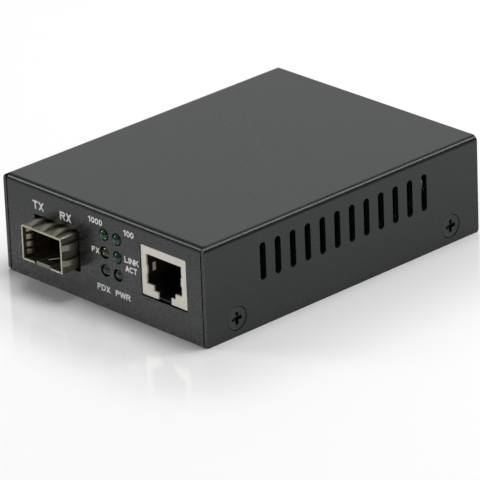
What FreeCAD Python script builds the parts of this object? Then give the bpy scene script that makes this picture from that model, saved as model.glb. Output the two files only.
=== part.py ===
import FreeCAD, Part
# Fibre media converter: a folded steel case with a fibre module slot, a network socket and six lamps.
# Millimetres. Origin in the middle of the case's underside, front towards -Y, +Z up.
import os
import re
from math import atan2, pi, sin, tan

import Sketcher

Vector = FreeCAD.Vector

SIZES = {
    # Case
    "case_width": (72.0, "outside width of the cover"),
    "case_depth": (94.0, "outside depth of the cover"),
    "case_height": (26.0, "outside height of the cover"),
    "sheet_gauge": (1.0, "thickness of the case's steel"),
    "bend_radius": (1.5, "outside radius of the case's folds"),
    "seam_gap": (0.35, "gap between the front panel and a side panel"),
    "corner_relief": (0.3, "how far the corner notch runs past the folds"),
    "flange_corner": (0.8, "radius at the lower corners of the side panels"),
    "fit_gap": (0.1, "clearance between tray and cover"),
    "tray_flange": (9.5, "height of the tray's side flanges"),
    # Side vents
    "vent_count": (12, "slots in each side panel"),
    "vent_width": (2.0, "width of a slot"),
    "vent_length": (9.85, "height of a slot"),
    "vent_pitch": (5.05, "distance between slots"),
    "vent_level": (16.7, "height of the slots' middle"),
    # Screws
    "screw_inset": (10.0, "cover screw to the nearer end of the case"),
    "screw_level": (4.7, "height of the cover screws"),
    "screw_head": (5.9, "diameter of a cover screw's head"),
    "screw_rim": (0.2, "straight rim of a cover screw's head"),
    "screw_reach": (5.0, "length of a cover screw"),
    "screw_thread": (3.0, "thread diameter of every screw"),
    "screw_play": (0.05, "clearance round a screw"),
    "head_play": (0.2, "clearance round a cover screw's head"),
    "head_sink": (0.15, "cover screw's face behind the side panel's"),
    "recess_span": (3.3, "width of the cross recess"),
    "recess_slot": (1.05, "width of one arm of the cross recess"),
    "recess_depth": (0.9, "depth of the cross recess"),
    "pan_head": (5.4, "diameter of a board screw's head"),
    "pan_rise": (1.9, "height of a board screw's head"),
    "pan_round": (1.15, "rounding of a board screw's head"),
    "pan_reach": (4.5, "length of a board screw under its head"),
    # Board and its studs
    "board_level": (8.0, "height of the board's top face"),
    "board_gauge": (1.6, "thickness of the board"),
    "board_side_gap": (2.0, "board to the inside of a side panel"),
    "board_front_gap": (0.4, "board to the front panel"),
    "board_rear_gap": (1.5, "board to the rear panel"),
    "stud_side_gap": (5.5, "studs to the inside of a side panel"),
    "stud_front": (11.0, "front studs to the middle of the case"),
    "stud_rear": (27.0, "rear studs to the middle of the case"),
    "stud_hex": (5.5, "width of a stud's hexagonal base across its flats"),
    "stud_barrel": (4.6, "diameter of a stud's barrel"),
    # Fibre module cage
    "cage_side_gap": (18.15, "middle of the cage to the inside of the left panel"),
    "cage_width": (14.4, "outside width of the cage shell"),
    "cage_height": (9.15, "outside height of the cage shell"),
    "cage_length": (48.6, "length of the cage from its rim"),
    "cage_nose": (5.2, "how far the rim stands out of the front panel"),
    "cage_gauge": (0.25, "thickness of the cage's sheet"),
    "cage_corner": (0.6, "outside radius of the cage's folds"),
    "cage_margin_side": (0.9, "cage shell to the side of its cut-out"),
    "cage_margin_top": (0.95, "cage shell to the top of its cut-out"),
    "cage_margin_base": (1.1, "cage shell to the bottom of its cut-out"),
    "cage_legs": (4, "press-in legs on each side"),
    "leg_width": (0.8, "width of a leg"),
    "leg_length": (2.1, "length of a leg"),
    "leg_pitch": (9.5, "distance between legs"),
    "leg_first": (12.0, "rim to the first leg"),
    "hole_play": (0.15, "clearance round a leg or peg in the board"),
    "airhole": (1.8, "diameter of the holes in the cage's roof"),
    "airhole_rows": (3, "rows of holes across the roof"),
    "airhole_count": (5, "holes in a row"),
    "airhole_pitch": (3.6, "distance between the holes"),
    "airhole_first": (14.0, "rim to the first hole"),
    "floor_play": (0.05, "clearance between cage floor and shell"),
    "floor_gap": (2.65, "cage floor to the edge connector"),
    "tongue_width": (4.8, "width of the latch tongue"),
    "tongue_length": (9.0, "length of the latch tongue"),
    "tongue_slit": (0.5, "slit beside the latch tongue"),
    "catch_width": (3.6, "width of the three-cornered catch hole"),
    "catch_length": (3.15, "length of the catch hole"),
    "catch_first": (3.2, "rim to the catch hole"),
    "lip_back": (1.6, "rim to where the tongue starts to rise to its lip"),
    "lip_rise": (0.38, "rise of the tongue before its lip"),
    "lip_drop": (0.12, "drop of the lip under the cage's floor"),
    "lip_length": (0.35, "length of the lip's steep face"),
    "collar_gauge": (0.12, "thickness of the spring collar"),
    "hem_round": (0.1, "radius of the collar's hem"),
    "collar_length": (4.6, "length of the collar's outer band"),
    "collar_inside": (1.2, "length of the collar's inner band"),
    "strip_count": (4, "sprung strips on each inner side"),
    "strip_width": (1.3, "width of an inner strip"),
    "strip_pitch": (2.0, "distance between the inner strips"),
    "strip_bulge": (0.9, "height of the corner that a strip bends round"),
    "strip_bend": (2.0, "radius of that bend"),
    "strip_peak": (2.7, "rim to that bend"),
    "strip_length": (4.6, "rim to a strip's end"),
    "strip_end": (0.25, "height of a strip's end"),
    "finger_width": (1.55, "width of a spring finger"),
    "finger_gap": (0.4, "gap beside a spring finger"),
    "finger_bulge": (1.15, "height of the corner that a finger bends round"),
    "finger_bend": (5.0, "radius of that bend"),
    "finger_peak": (3.0, "rim to that bend"),
    "finger_length": (6.1, "rim to a finger's end"),
    "finger_end": (0.4, "height of a finger's end"),
    "finger_pitch_top": (4.4, "distance between the fingers above"),
    "finger_pitch_side": (4.1, "distance between the fingers on a side"),
    "finger_pitch_base": (9.6, "distance between the fingers below"),
    # Edge connector inside the cage
    "edge_width": (12.4, "width of the edge connector"),
    "edge_depth": (8.2, "depth of the edge connector"),
    "edge_height": (5.6, "height of the edge connector"),
    "edge_back": (2.0, "edge connector to the end of the cage"),
    "edge_slot_width": (9.6, "width of its slot"),
    "edge_slot_height": (1.5, "height of its slot"),
    "edge_slot_level": (3.9, "height of the slot's middle"),
    "edge_pins": (10, "contacts in a row"),
    "edge_pitch": (0.8, "distance between contacts"),
    "edge_wire": (0.26, "thickness of a contact"),
    # Network socket
    "jack_side_gap": (13.6, "middle of the socket to the inside of the right panel"),
    "jack_width": (15.7, "width of the socket"),
    "jack_height": (13.0, "height of the socket"),
    "jack_depth": (18.0, "depth of the socket"),
    "jack_recess": (0.15, "socket's face behind the front panel's"),
    "jack_corner": (0.3, "radius of the socket's long edges"),
    "jack_margin": (0.22, "socket to its cut-out"),
    "jack_margin_base": (0.42, "socket to the bottom of its cut-out"),
    "plug_width": (12.4, "width of the socket's mouth"),
    "plug_floor": (3.1, "height of the mouth's floor"),
    "plug_roof": (11.0, "height of the mouth's roof"),
    "plug_depth": (14.5, "depth of the socket's hollow"),
    "latch_wide": (7.7, "width of the latch notch's upper step"),
    "latch_step": (1.7, "height at which the latch notch narrows"),
    "latch_narrow": (4.7, "width of the latch notch at the bottom"),
    "latch_floor": (0.35, "bar under the latch notch, behind the front plate"),
    "bezel_gauge": (0.5, "thickness of the socket's front plate"),
    "arm_height": (2.1, "height of the plate's snap arms"),
    "arm_level": (6.8, "height of the arms' middle"),
    "arm_gauge": (0.8, "thickness of a snap arm"),
    "arm_tooth": (0.25, "how far the root of an arm stands into the mouth"),
    "hook_first": (2.15, "socket's face to the hook of an arm"),
    "hook_length": (1.0, "length of the hook"),
    "hook_play": (0.1, "clearance round an arm and its hook"),
    "jack_pins": (8, "spring wires"),
    "jack_pitch": (1.02, "distance between spring wires"),
    "jack_wire": (0.4, "thickness of a spring wire"),
    "jack_wire_level": (10.5, "height of the wires under the roof"),
    "jack_wire_front": (1.1, "corner that the wires fold round, from the face"),
    "jack_wire_tip": (10.6, "free end of the wires, from the face"),
    "jack_wire_drop": (2.7, "how far the free end hangs under the roof run"),
    "peg_size": (3.2, "diameter of the socket's pegs"),
    "peg_spacing": (11.4, "distance between the pegs"),
    "peg_place": (9.0, "pegs behind the face"),
    # Lamps
    "lamp_size": (3.0, "diameter of a lamp"),
    "lamp_length": (5.3, "length of a lamp"),
    "lamp_base": (3.8, "diameter of a lamp's base"),
    "lamp_base_rise": (1.0, "thickness of a lamp's base"),
    "lamp_tip": (0.05, "flat at the lamp's tip"),
    "lamp_proud": (0.9, "how far a lamp stands out of the front panel"),
    "lamp_sunk": (0.6, "how much further back the deeper lamps sit"),
    "lamp_hole": (3.3, "diameter of the lamp holes"),
    "lamp_column": (0.5, "left column of lamps from the middle of the case"),
    "lamp_across": (4.55, "distance between the columns"),
    "lamp_level": (10.2, "height of the lowest lamps"),
    "lamp_rise": (4.75, "distance between the rows"),
    "lamp_wire": (0.5, "thickness of a lamp's wires"),
    "lamp_wire_gap": (2.54, "distance between a lamp's two wires"),
    "lamp_wire_step": (1.3, "wires of one row behind those of the row below"),
    "holder_margin": (2.15, "lamp's middle to the holder's edge"),
    "holder_gap": (0.3, "holder to the front panel"),
    "holder_back": (1.0, "holder behind the lamps"),
    # Parts on the board
    "trafo_width": (16.4, "width of the network transformer"),
    "trafo_depth": (7.2, "depth of the network transformer"),
    "trafo_height": (5.8, "height of the network transformer"),
    "trafo_place": (-19.5, "middle of the transformer, towards the rear"),
    "trafo_pins": (12, "leads on each side of the transformer"),
    "trafo_pitch": (1.27, "distance between the transformer's leads"),
    "trafo_lead": (0.4, "thickness of the transformer's leads"),
    "trafo_foot": (1.6, "reach of a lead beyond the transformer"),
    "phy_size": (9.0, "width of the line driver chip"),
    "phy_height": (1.0, "height of the line driver chip"),
    "phy_place": (-5.5, "its middle, towards the rear"),
    "switch_size": (14.0, "width of the converter chip"),
    "switch_height": (1.4, "height of the converter chip"),
    "switch_side_gap": (27.0, "its middle to the inside of the right panel"),
    "switch_place": (7.0, "its middle, towards the rear"),
    "memory_width": (5.0, "width of the memory chip"),
    "memory_depth": (4.0, "depth of the memory chip"),
    "memory_height": (1.5, "height of the memory chip"),
    "memory_place": (6.0, "its middle, towards the rear"),
    "supply_width": (6.5, "width of the voltage regulator"),
    "supply_depth": (6.1, "depth of the voltage regulator"),
    "supply_height": (2.3, "height of the voltage regulator"),
    "supply_side_gap": (21.0, "middle of the supply parts to the inside of the left panel"),
    "supply_place": (33.0, "middle of the regulator, towards the rear"),
    "chip_chamfer": (0.25, "chamfer round the top of a chip"),
    "chip_dimple": (1.2, "diameter of the dimple at a chip's corner"),
    "dimple_inset": (1.8, "dimple's middle to the chip's edges"),
    "can_size": (6.3, "diameter of a bulk capacitor"),
    "can_height": (9.2, "height of a bulk capacitor"),
    "can_plinth": (6.8, "width of its plinth"),
    "can_plinth_rise": (1.1, "height of its plinth"),
    "can_place": (35.5, "middle of the bulk capacitors, towards the rear"),
    "can_pitch": (8.2, "distance between them"),
    "can_bead": (3.4, "height of the bead round a can"),
    "crystal_length": (10.9, "length of the crystal's can"),
    "crystal_width": (4.3, "width of the crystal's can"),
    "crystal_height": (3.5, "height of the crystal's can"),
    "crystal_rim": (0.35, "reach of the can's base beyond its wall"),
    "crystal_side_gap": (31.0, "its middle to the inside of the right panel"),
    "crystal_place": (-17.0, "its middle, towards the rear"),
    "coil_size": (7.2, "width of the power inductor"),
    "coil_height": (4.4, "height of the power inductor"),
    "coil_place": (21.0, "its middle, towards the rear"),
    "coil_core": (5.2, "diameter of its core"),
    "coil_groove": (0.45, "width and depth of the groove round the core"),
    "grain_length": (2.0, "length of a ceramic capacitor"),
    "grain_width": (1.25, "width of a ceramic capacitor"),
    "grain_height": (0.9, "height of a ceramic capacitor"),
    "grain_side_gap": (7.8, "middle of the last one to the inside of the right panel"),
    "grain_place": (17.0, "middle of the first row, towards the rear"),
    "grain_pitch": (4.8, "distance between the columns"),
    "grain_row": (3.4, "distance between the rows"),
    "grain_columns": (5, "ceramic capacitors in a row"),
    # Power inlet
    "inlet_width": (9.0, "width of the power inlet"),
    "inlet_height": (11.0, "height of the power inlet"),
    "inlet_depth": (14.2, "depth of the power inlet"),
    "inlet_bore": (6.0, "diameter of the power inlet's bore"),
    "inlet_bore_depth": (10.0, "depth of that bore"),
    "inlet_axis": (6.0, "height of the bore above the board"),
    "inlet_pin": (2.1, "diameter of the centre pin"),
    "inlet_pin_reach": (9.0, "length of the centre pin in the bore"),
    "inlet_margin": (0.2, "power inlet to its cut-out"),
    "inlet_spring": (0.3, "thickness of the spring contact"),
    "inlet_leaf": (1.7, "width of the spring contact"),
}

# Places that several pieces share
FRONT = "(-case_depth / 2)"
REAR = "(case_depth / 2)"
FRONT_INSIDE = "(-case_depth / 2 + sheet_gauge)"
SKIN = "(case_width / 2 - sheet_gauge)"
TRAY_SIDE = "(case_width / 2 - sheet_gauge - fit_gap)"
BOARD_SIDE = f"({SKIN} - board_side_gap)"
BOARD_UNDER = "(board_level - board_gauge)"
CAGE_ACROSS = f"(cage_side_gap - {SKIN})"
JACK_ACROSS = f"({SKIN} - jack_side_gap)"
SUPPLY_ACROSS = f"(supply_side_gap - {SKIN})"
CANS_MIDDLE = f"((inlet_width / 2 + {TRAY_SIDE} - sheet_gauge) / 2)"
CAGE_RIM = "(-case_depth / 2 - cage_nose)"
HEAD_BORE = "(screw_head / 2 + head_play)"
SINK_RIM = "(screw_rim + 2 * screw_play + head_sink - head_play)"
THREAD_BORE = "(screw_thread / 2 + screw_play)"
JACK_FACE = "(-case_depth / 2 + jack_recess)"
EDGE_FRONT = "(cage_length - cage_gauge - edge_back - edge_depth)"
LAMP_BACK = "(-case_depth / 2 - lamp_proud + lamp_length)"
STUD_PLACES = [
    (f"{side}({SKIN} - stud_side_gap)", along)
    for side in ("-", "") for along in ("-stud_front", "stud_rear")
]
# Each lamp's column, row and how much further back it sits
LAMP_PLACES = {
    "led_1000": (0, 2, "0"), "led_100": (1, 2, "0"), "led_fx": (0, 1, "lamp_sunk"),
    "led_link_act": (1, 1, "0"), "led_fdx": (0, 0, "lamp_sunk"), "led_pwr": (1, 0, "lamp_sunk"),
}

doc = FreeCAD.newDocument("media_converter")
sheet = doc.addObject("Spreadsheet::Sheet", "sizes")
for row, (alias, (size, note)) in enumerate(SIZES.items(), start=1):
    sheet.set(f"A{row}", alias)
    sheet.set(f"B{row}", str(size))
    sheet.set(f"C{row}", note)
    sheet.setAlias(f"B{row}", alias)
doc.recompute()


# Expressions and sketches

def full(expression):
    """The expression with each size written as a cell of the sheet."""
    return re.sub(r"[a-z_]+", lambda word: "sizes." + word[0] if word[0] in SIZES else word[0], expression)


def amount(expression):
    return float(sheet.evalExpression(full(expression)))


def bind(item, name, expression):
    item.setExpression(name, full(expression))


def place(item, along_x="0", along_y="0", along_z="0", turn=0.0):
    """Puts a piece at expressions, turned about +Z by degrees."""
    item.Placement = FreeCAD.Placement(Vector(), FreeCAD.Rotation(Vector(0, 0, 1), turn))
    for axis, expression in zip("xyz", (along_x, along_y, along_z)):
        bind(item, f"Placement.Base.{axis}", expression)
    return item


def new_body(name):
    body = doc.addObject("PartDesign::Body", name)
    body.Label = name
    return body


def origin_part(body, role):
    return next(item for item in body.Origin.OriginFeatures if item.Role == role)


def new_sketch(body, plane, along="0"):
    """A sketch on one of the body's origin planes, moved along the plane's normal."""
    sketch = body.newObject("Sketcher::SketchObject", "sketch")
    sketch.AttachmentSupport = [(origin_part(body, plane), "")]
    sketch.MapMode = "FlatFace"
    bind(sketch, "AttachmentOffset.Base.z", along)
    return sketch


def constrain(sketch, kind, *arguments, to=None):
    """Adds a constraint, and ties it to an expression if it has one."""
    values = arguments if to is None else (*arguments, amount(to))
    index = sketch.addConstraint(Sketcher.Constraint(kind, *values))
    if to is not None:
        bind(sketch, f"Constraints[{index}]", to)


def pin(sketch, geometry, point, across, up):
    constrain(sketch, "DistanceX", -1, 1, geometry, point, to=across)
    constrain(sketch, "DistanceY", -1, 1, geometry, point, to=up)


def arc_about(centre, start, end):
    """The arc from start to end, anticlockwise about its centre."""
    first, last = (atan2(spot.y - centre.y, spot.x - centre.x) for spot in (start, end))
    if last < first:
        last += 2 * pi
    ring = Part.Circle(centre, Vector(0, 0, 1), start.distanceToPoint(centre))
    return Part.ArcOfCircle(ring, first, last)


def outline(sketch, corners, closed=True):
    """Lines through corners (across, up), with an arc where a corner also has a radius."""
    spots = [Vector(amount(corner[0]), amount(corner[1]), 0) for corner in corners]
    count = len(corners)
    joints = []
    for number, corner in enumerate(corners):
        spot = spots[number]
        if len(corner) == 2:
            joints.append((spot, spot, None))
            continue
        radius = amount(corner[2])
        back = (spots[number - 1] - spot).normalize()
        ahead = (spots[(number + 1) % count] - spot).normalize()
        half = back.getAngle(ahead) / 2
        start = spot + back * (radius / tan(half))
        end = spot + ahead * (radius / tan(half))
        centre = spot + (back + ahead).normalize() * (radius / sin(half))
        joints.append((start, end, centre))
    runs = range(count if closed else count - 1)
    first = sketch.GeometryCount
    for number in runs:
        sketch.addGeometry(Part.LineSegment(joints[number][1], joints[(number + 1) % count][0]))
    for number, corner in enumerate(corners):
        before = first + (number - 1) % count
        after = first + number
        start, end, centre = joints[number]
        if centre:
            leftward = (start - centre).cross(end - centre).z > 0
            bend = sketch.addGeometry(arc_about(centre, *((start, end) if leftward else (end, start))))
            mark = sketch.addGeometry(Part.Point(spots[number]), True)
            constrain(sketch, "Tangent", before, 2, bend, 1 if leftward else 2)
            constrain(sketch, "Tangent", bend, 2 if leftward else 1, after, 1)
            constrain(sketch, "Radius", bend, to=corner[2])
            constrain(sketch, "PointOnObject", mark, 1, before)
            constrain(sketch, "PointOnObject", mark, 1, after)
            pin(sketch, mark, 1, corner[0], corner[1])
        elif closed or 0 < number < count - 1:
            constrain(sketch, "Coincident", before, 2, after, 1)
            pin(sketch, after, 1, corner[0], corner[1])
        elif number == 0:
            pin(sketch, after, 1, corner[0], corner[1])
        else:
            pin(sketch, before, 2, corner[0], corner[1])
    return sketch


def rectangle(sketch, left, bottom, right, top, radius=None):
    corners = [(left, bottom), (right, bottom), (right, top), (left, top)]
    return outline(sketch, [corner + (radius,) if radius else corner for corner in corners])


def circle(sketch, across, up, radius):
    ring = Part.Circle(Vector(amount(across), amount(up), 0), Vector(0, 0, 1), amount(radius))
    index = sketch.addGeometry(ring)
    pin(sketch, index, 3, across, up)
    constrain(sketch, "Radius", index, to=radius)
    return sketch


def round_slot(sketch, across, up, width, length):
    """An upright slot with round ends."""
    radius = f"{width} / 2"
    x, y, r = amount(across), amount(up), amount(radius)
    rise = amount(length) / 2 - r
    upper, lower = Vector(x, y + rise, 0), Vector(x, y - rise, 0)
    side = Vector(r, 0, 0)
    first = sketch.addGeometry(Part.LineSegment(lower - side, upper - side))
    sketch.addGeometry(arc_about(upper, upper + side, upper - side))
    sketch.addGeometry(Part.LineSegment(upper + side, lower + side))
    sketch.addGeometry(arc_about(lower, lower - side, lower + side))
    left, top, right, bottom = range(first, first + 4)
    for line, line_end, arc, arc_end in ((left, 2, top, 2), (right, 1, top, 1),
                                         (right, 2, bottom, 2), (left, 1, bottom, 1)):
        constrain(sketch, "Tangent", line, line_end, arc, arc_end)
    constrain(sketch, "Equal", top, bottom)
    constrain(sketch, "Radius", top, to=radius)
    pin(sketch, top, 3, across, f"{up} + ({length} - {width}) / 2")
    pin(sketch, bottom, 3, across, f"{up} - ({length} - {width}) / 2")
    return sketch


def hexagon(sketch, across, up, flats):
    point, side = f"{flats} / sqrt(3)", f"{flats} / 2"
    return outline(sketch, [
        (across, f"{up} + {point}"), (f"{across} - {side}", f"{up} + {point} / 2"),
        (f"{across} - {side}", f"{up} - {point} / 2"), (across, f"{up} - {point}"),
        (f"{across} + {side}", f"{up} - {point} / 2"), (f"{across} + {side}", f"{up} + {point} / 2")])


# Features

def pad(body, sketch, length, both=False, back=False):
    """A pad along the sketch's normal, to both sides of it, or back against it."""
    feature = body.newObject("PartDesign::Pad", "pad")
    feature.Profile = sketch
    feature.SideType = "Symmetric" if both else "One side"
    feature.Reversed = back
    bind(feature, "Length", length)
    return feature


def pocket(body, sketch, depth=None, both=False, forward=False):
    """A pocket against the sketch's normal, right through if it has no depth."""
    feature = body.newObject("PartDesign::Pocket", "pocket")
    feature.Profile = sketch
    feature.SideType = "Symmetric" if both else "One side"
    feature.Reversed = forward
    if depth is None:
        feature.Type = "ThroughAll"
    else:
        bind(feature, "Length", depth)
    return feature


def turned(body, sketch, axis, kind="Revolution"):
    """A revolution, or a groove, about an axis of its sketch."""
    feature = body.newObject(f"PartDesign::{kind}", kind.lower())
    feature.Profile = sketch
    feature.ReferenceAxis = (sketch, [axis])
    feature.Angle = 360.0
    return feature


def repeated(body, feature, axis, count, pitch, axis_2=None, count_2=None):
    """Copies of a feature along an origin axis, and in rows along a second one."""
    pattern = body.newObject("PartDesign::LinearPattern", "pattern")
    pattern.Originals = [feature]
    pattern.Direction = (origin_part(body, axis), [""])
    bind(pattern, "Occurrences", count)
    bind(pattern, "Length", f"({count} - 1) * {pitch}")
    if axis_2:
        pattern.Direction2 = (origin_part(body, axis_2), [""])
        bind(pattern, "Occurrences2", count_2)
        bind(pattern, "Length2", f"({count_2} - 1) * {pitch}")
    body.Tip = pattern
    return pattern


def mirrored(body, feature, plane):
    mirror = body.newObject("PartDesign::Mirrored", "mirror")
    mirror.Originals = [feature]
    mirror.MirrorPlane = (origin_part(body, plane), [""])
    body.Tip = mirror
    return mirror


def edges_at(feature, keep, **levels):
    """Names of the edges that lie wholly at the given X, Y or Z, and pass the test."""
    names = []
    for number, edge in enumerate(feature.Shape.Edges, start=1):
        box = edge.BoundBox
        level = all(
            abs(getattr(box, axis + end) - amount(value)) < 1e-4
            for axis, value in levels.items() for end in ("Min", "Max"))
        if level and keep(edge):
            names.append(f"Edge{number}")
    return names


def dressed(body, kind, size, levels, keep=lambda edge: True):
    """A fillet or chamfer on the edges that lie at each of the levels, and pass the test."""
    base = body.Tip
    doc.recompute()
    names = [name for level in levels for name in edges_at(base, keep, **level)]
    feature = body.newObject(f"PartDesign::{kind}", kind.lower())
    feature.Base = (base, names)
    bind(feature, "Radius" if kind == "Fillet" else "Size", size)
    return feature


def bent_wire(name, points, thickness, upright=True):
    """A square wire in the YZ plane. It starts upright, or level, at its first point."""
    body = new_body(name)
    spine = outline(new_sketch(body, "YZ_Plane"), points, closed=False)
    across, up = points[0][0], points[0][1]
    half = f"{thickness} / 2"
    if upright:
        section = new_sketch(body, "XY_Plane", up)
        rectangle(section, f"-{half}", f"{across} - {half}", half, f"{across} + {half}")
    else:
        section = new_sketch(body, "XZ_Plane", f"-({across})")
        rectangle(section, f"-{half}", f"{up} - {half}", half, f"{up} + {half}")
    pipe = body.newObject("PartDesign::AdditivePipe", "pipe")
    pipe.Profile = section
    pipe.Spine = spine
    return body


def group(name, members):
    """One node of like pieces: each member is a body with its place and turn."""
    links = []
    for body, along_x, along_y, along_z, turn in members:
        link = doc.addObject("App::Link", f"{name}_item")
        link.LinkedObject = body
        links.append(place(link, along_x, along_y, along_z, turn))
    compound = doc.addObject("Part::Compound", name)
    compound.Label = name
    compound.Links = links
    return compound


# Case

def make_top_cover():
    """One sheet: roof, front panel and side panels, open below and behind."""
    body = new_body("top_cover")
    side, inner = "case_width / 2", "bend_radius - sheet_gauge"
    ceiling = "case_height - sheet_gauge"
    section = outline(new_sketch(body, "XZ_Plane"), [
        (f"-{side}", "0"), (f"-{side}", "case_height", "bend_radius"),
        (side, "case_height", "bend_radius"), (side, "0"), (SKIN, "0"),
        (SKIN, ceiling, inner), (f"-{SKIN}", ceiling, inner), (f"-{SKIN}", "0")])
    pad(body, section, "case_depth", both=True)
    notch = new_sketch(body, "YZ_Plane")
    rectangle(notch, f"{FRONT} - sheet_gauge", "case_height - bend_radius - corner_relief",
              f"{FRONT} + bend_radius + corner_relief", "case_height + sheet_gauge")
    pocket(body, notch, f"2 * {SKIN}", both=True)
    panel_end = f"{FRONT} + bend_radius + corner_relief + sheet_gauge"
    panel = outline(new_sketch(body, "YZ_Plane"), [
        (FRONT, "0"), (FRONT, "case_height", "bend_radius"), (panel_end, "case_height"),
        (panel_end, ceiling), (FRONT_INSIDE, ceiling, inner), (FRONT_INSIDE, "0")])
    pad(body, panel, "case_width - 2 * (sheet_gauge + seam_gap)", both=True)
    dressed(body, "Fillet", "flange_corner", ({"Y": FRONT, "Z": "0"}, {"Y": REAR, "Z": "0"}),
            keep=lambda edge: edge.Length < 2 * amount("sheet_gauge"))
    openings = new_sketch(body, "XZ_Plane")
    cage_side = "(cage_width / 2 + cage_margin_side)"
    rectangle(openings, f"{CAGE_ACROSS} - {cage_side}", "board_level - cage_margin_base",
              f"{CAGE_ACROSS} + {cage_side}", "board_level + cage_height + cage_margin_top", "jack_corner")
    jack_side = "(jack_width / 2 + jack_margin)"
    rectangle(openings, f"{JACK_ACROSS} - {jack_side}", "board_level - jack_margin_base",
              f"{JACK_ACROSS} + {jack_side}", "board_level + jack_height + jack_margin", "jack_corner")
    for column, row, _ in LAMP_PLACES.values():
        circle(openings, *lamp_spot(column, row), "lamp_hole / 2")
    pocket(body, openings, forward=True)
    vent = new_sketch(body, "YZ_Plane")
    round_slot(vent, "-(vent_count - 1) * vent_pitch / 2", "vent_level", "vent_width", "vent_length")
    repeated(body, pocket(body, vent, both=True), "Y_Axis", "vent_count", "vent_pitch")
    sinks = new_sketch(body, "XY_Plane", "screw_level")
    bind(sinks, "AttachmentOffset.Base.y", f"{FRONT} + screw_inset")
    for sign in ("", "-"):
        outline(sinks, [(f"{sign}({side})", "0"), (f"{sign}({side})", HEAD_BORE),
                        (f"{sign}({side} - {SINK_RIM})", HEAD_BORE),
                        (f"{sign}{SKIN}", f"{HEAD_BORE} - sheet_gauge + {SINK_RIM}"), (f"{sign}{SKIN}", "0")])
    mirrored(body, turned(body, sinks, "H_Axis", "Groove"), "XZ_Plane")
    return body


def make_base_tray():
    """Floor, rear panel and two low side flanges of one sheet."""
    body = new_body("base_tray")
    inner = "bend_radius - sheet_gauge"
    flange_in = f"{TRAY_SIDE} - sheet_gauge"
    section = outline(new_sketch(body, "XZ_Plane"), [
        (f"-{TRAY_SIDE}", "tray_flange"), (f"-{TRAY_SIDE}", "0", "bend_radius"),
        (TRAY_SIDE, "0", "bend_radius"), (TRAY_SIDE, "tray_flange"), (flange_in, "tray_flange"),
        (flange_in, "sheet_gauge", inner), (f"-({flange_in})", "sheet_gauge", inner),
        (f"-({flange_in})", "tray_flange")])
    pad(body, section, "case_depth - 2 * (sheet_gauge + fit_gap)", both=True)
    fold = f"{REAR} - bend_radius - corner_relief"
    notch = new_sketch(body, "YZ_Plane")
    rectangle(notch, fold, "-sheet_gauge", f"{REAR} + sheet_gauge", "tray_flange + sheet_gauge")
    pocket(body, notch, both=True)
    rear_in = f"{REAR} - sheet_gauge"
    rim = "case_height - sheet_gauge - fit_gap"
    panel = outline(new_sketch(body, "YZ_Plane"), [
        (REAR, rim), (REAR, "0", "bend_radius"), (f"{fold} - sheet_gauge", "0"),
        (f"{fold} - sheet_gauge", "sheet_gauge"), (rear_in, "sheet_gauge", inner), (rear_in, rim)])
    pad(body, panel, f"2 * ({TRAY_SIDE} - bend_radius)", both=True)
    wings = new_sketch(body, "XZ_Plane", f"-({rear_in})")
    foot = "bend_radius + corner_relief"
    outline(wings, [(f"-{TRAY_SIDE}", foot), (TRAY_SIDE, foot),
                    (TRAY_SIDE, rim, inner), (f"-{TRAY_SIDE}", rim, inner)])
    pad(body, wings, "sheet_gauge", back=True)
    inlet = new_sketch(body, "XZ_Plane")
    rectangle(inlet, "-inlet_width / 2 - inlet_margin", "board_level - inlet_margin",
              "inlet_width / 2 + inlet_margin", "board_level + inlet_height + inlet_margin", "jack_corner")
    pocket(body, inlet)
    bores = new_sketch(body, "XY_Plane", "screw_level")
    bind(bores, "AttachmentOffset.Base.y", f"{FRONT} + screw_inset")
    sink = f"({HEAD_BORE} - sheet_gauge - fit_gap + {SINK_RIM})"
    for sign in ("", "-"):
        outline(bores, [
            (f"{sign}{TRAY_SIDE}", "0"), (f"{sign}{TRAY_SIDE}", sink),
            (f"{sign}({TRAY_SIDE} - {sink} + {THREAD_BORE})", THREAD_BORE),
            (f"{sign}({flange_in})", THREAD_BORE), (f"{sign}({flange_in})", "0")])
    mirrored(body, turned(body, bores, "H_Axis", "Groove"), "XZ_Plane")
    seats = new_sketch(body, "XY_Plane")
    for across, along in STUD_PLACES:
        hexagon(seats, across, along, "stud_hex")
    pocket(body, seats, forward=True)
    return body


# Screws and studs

def cut_cross(body, plane, level):
    """A cross recess, cut against the normal of the plane."""
    sketch = new_sketch(body, plane, level)
    arm, half = "recess_span / 2", "recess_slot / 2"
    quarter = [(arm, f"-{half}"), (arm, half), (half, half)]
    corners = []
    for swap, sign_x, sign_y in ((False, "", ""), (True, "-", ""), (False, "-", "-"), (True, "", "-")):
        for across, up in quarter:
            first, second = (up, across) if swap else (across, up)
            corners.append((f"{sign_x}({first})", f"{sign_y}({second})"))
    outline(sketch, corners)
    pocket(body, sketch, "recess_depth")


def make_cover_screws():
    """Countersunk screws, each with its axis along X and its head's face at its origin."""
    screw = new_body("cover_screw")
    head, thread = "screw_head / 2", "screw_thread / 2"
    section = outline(new_sketch(screw, "XY_Plane"), [
        ("0", "0"), ("0", head), ("-screw_rim", head), (f"-screw_rim - {head} + {thread}", thread),
        ("-screw_reach", thread), ("-screw_reach", "0")])
    turned(screw, section, "H_Axis")
    cut_cross(screw, "YZ_Plane", "0")
    members = []
    for side, turn in (("", 0), ("-", 180)):
        for end in ("", "-"):
            members.append((screw, f"{side}(case_width / 2 - head_sink)",
                            f"{end}(case_depth / 2 - screw_inset)", "screw_level", turn))
    return group("cover_screws", members)


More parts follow.
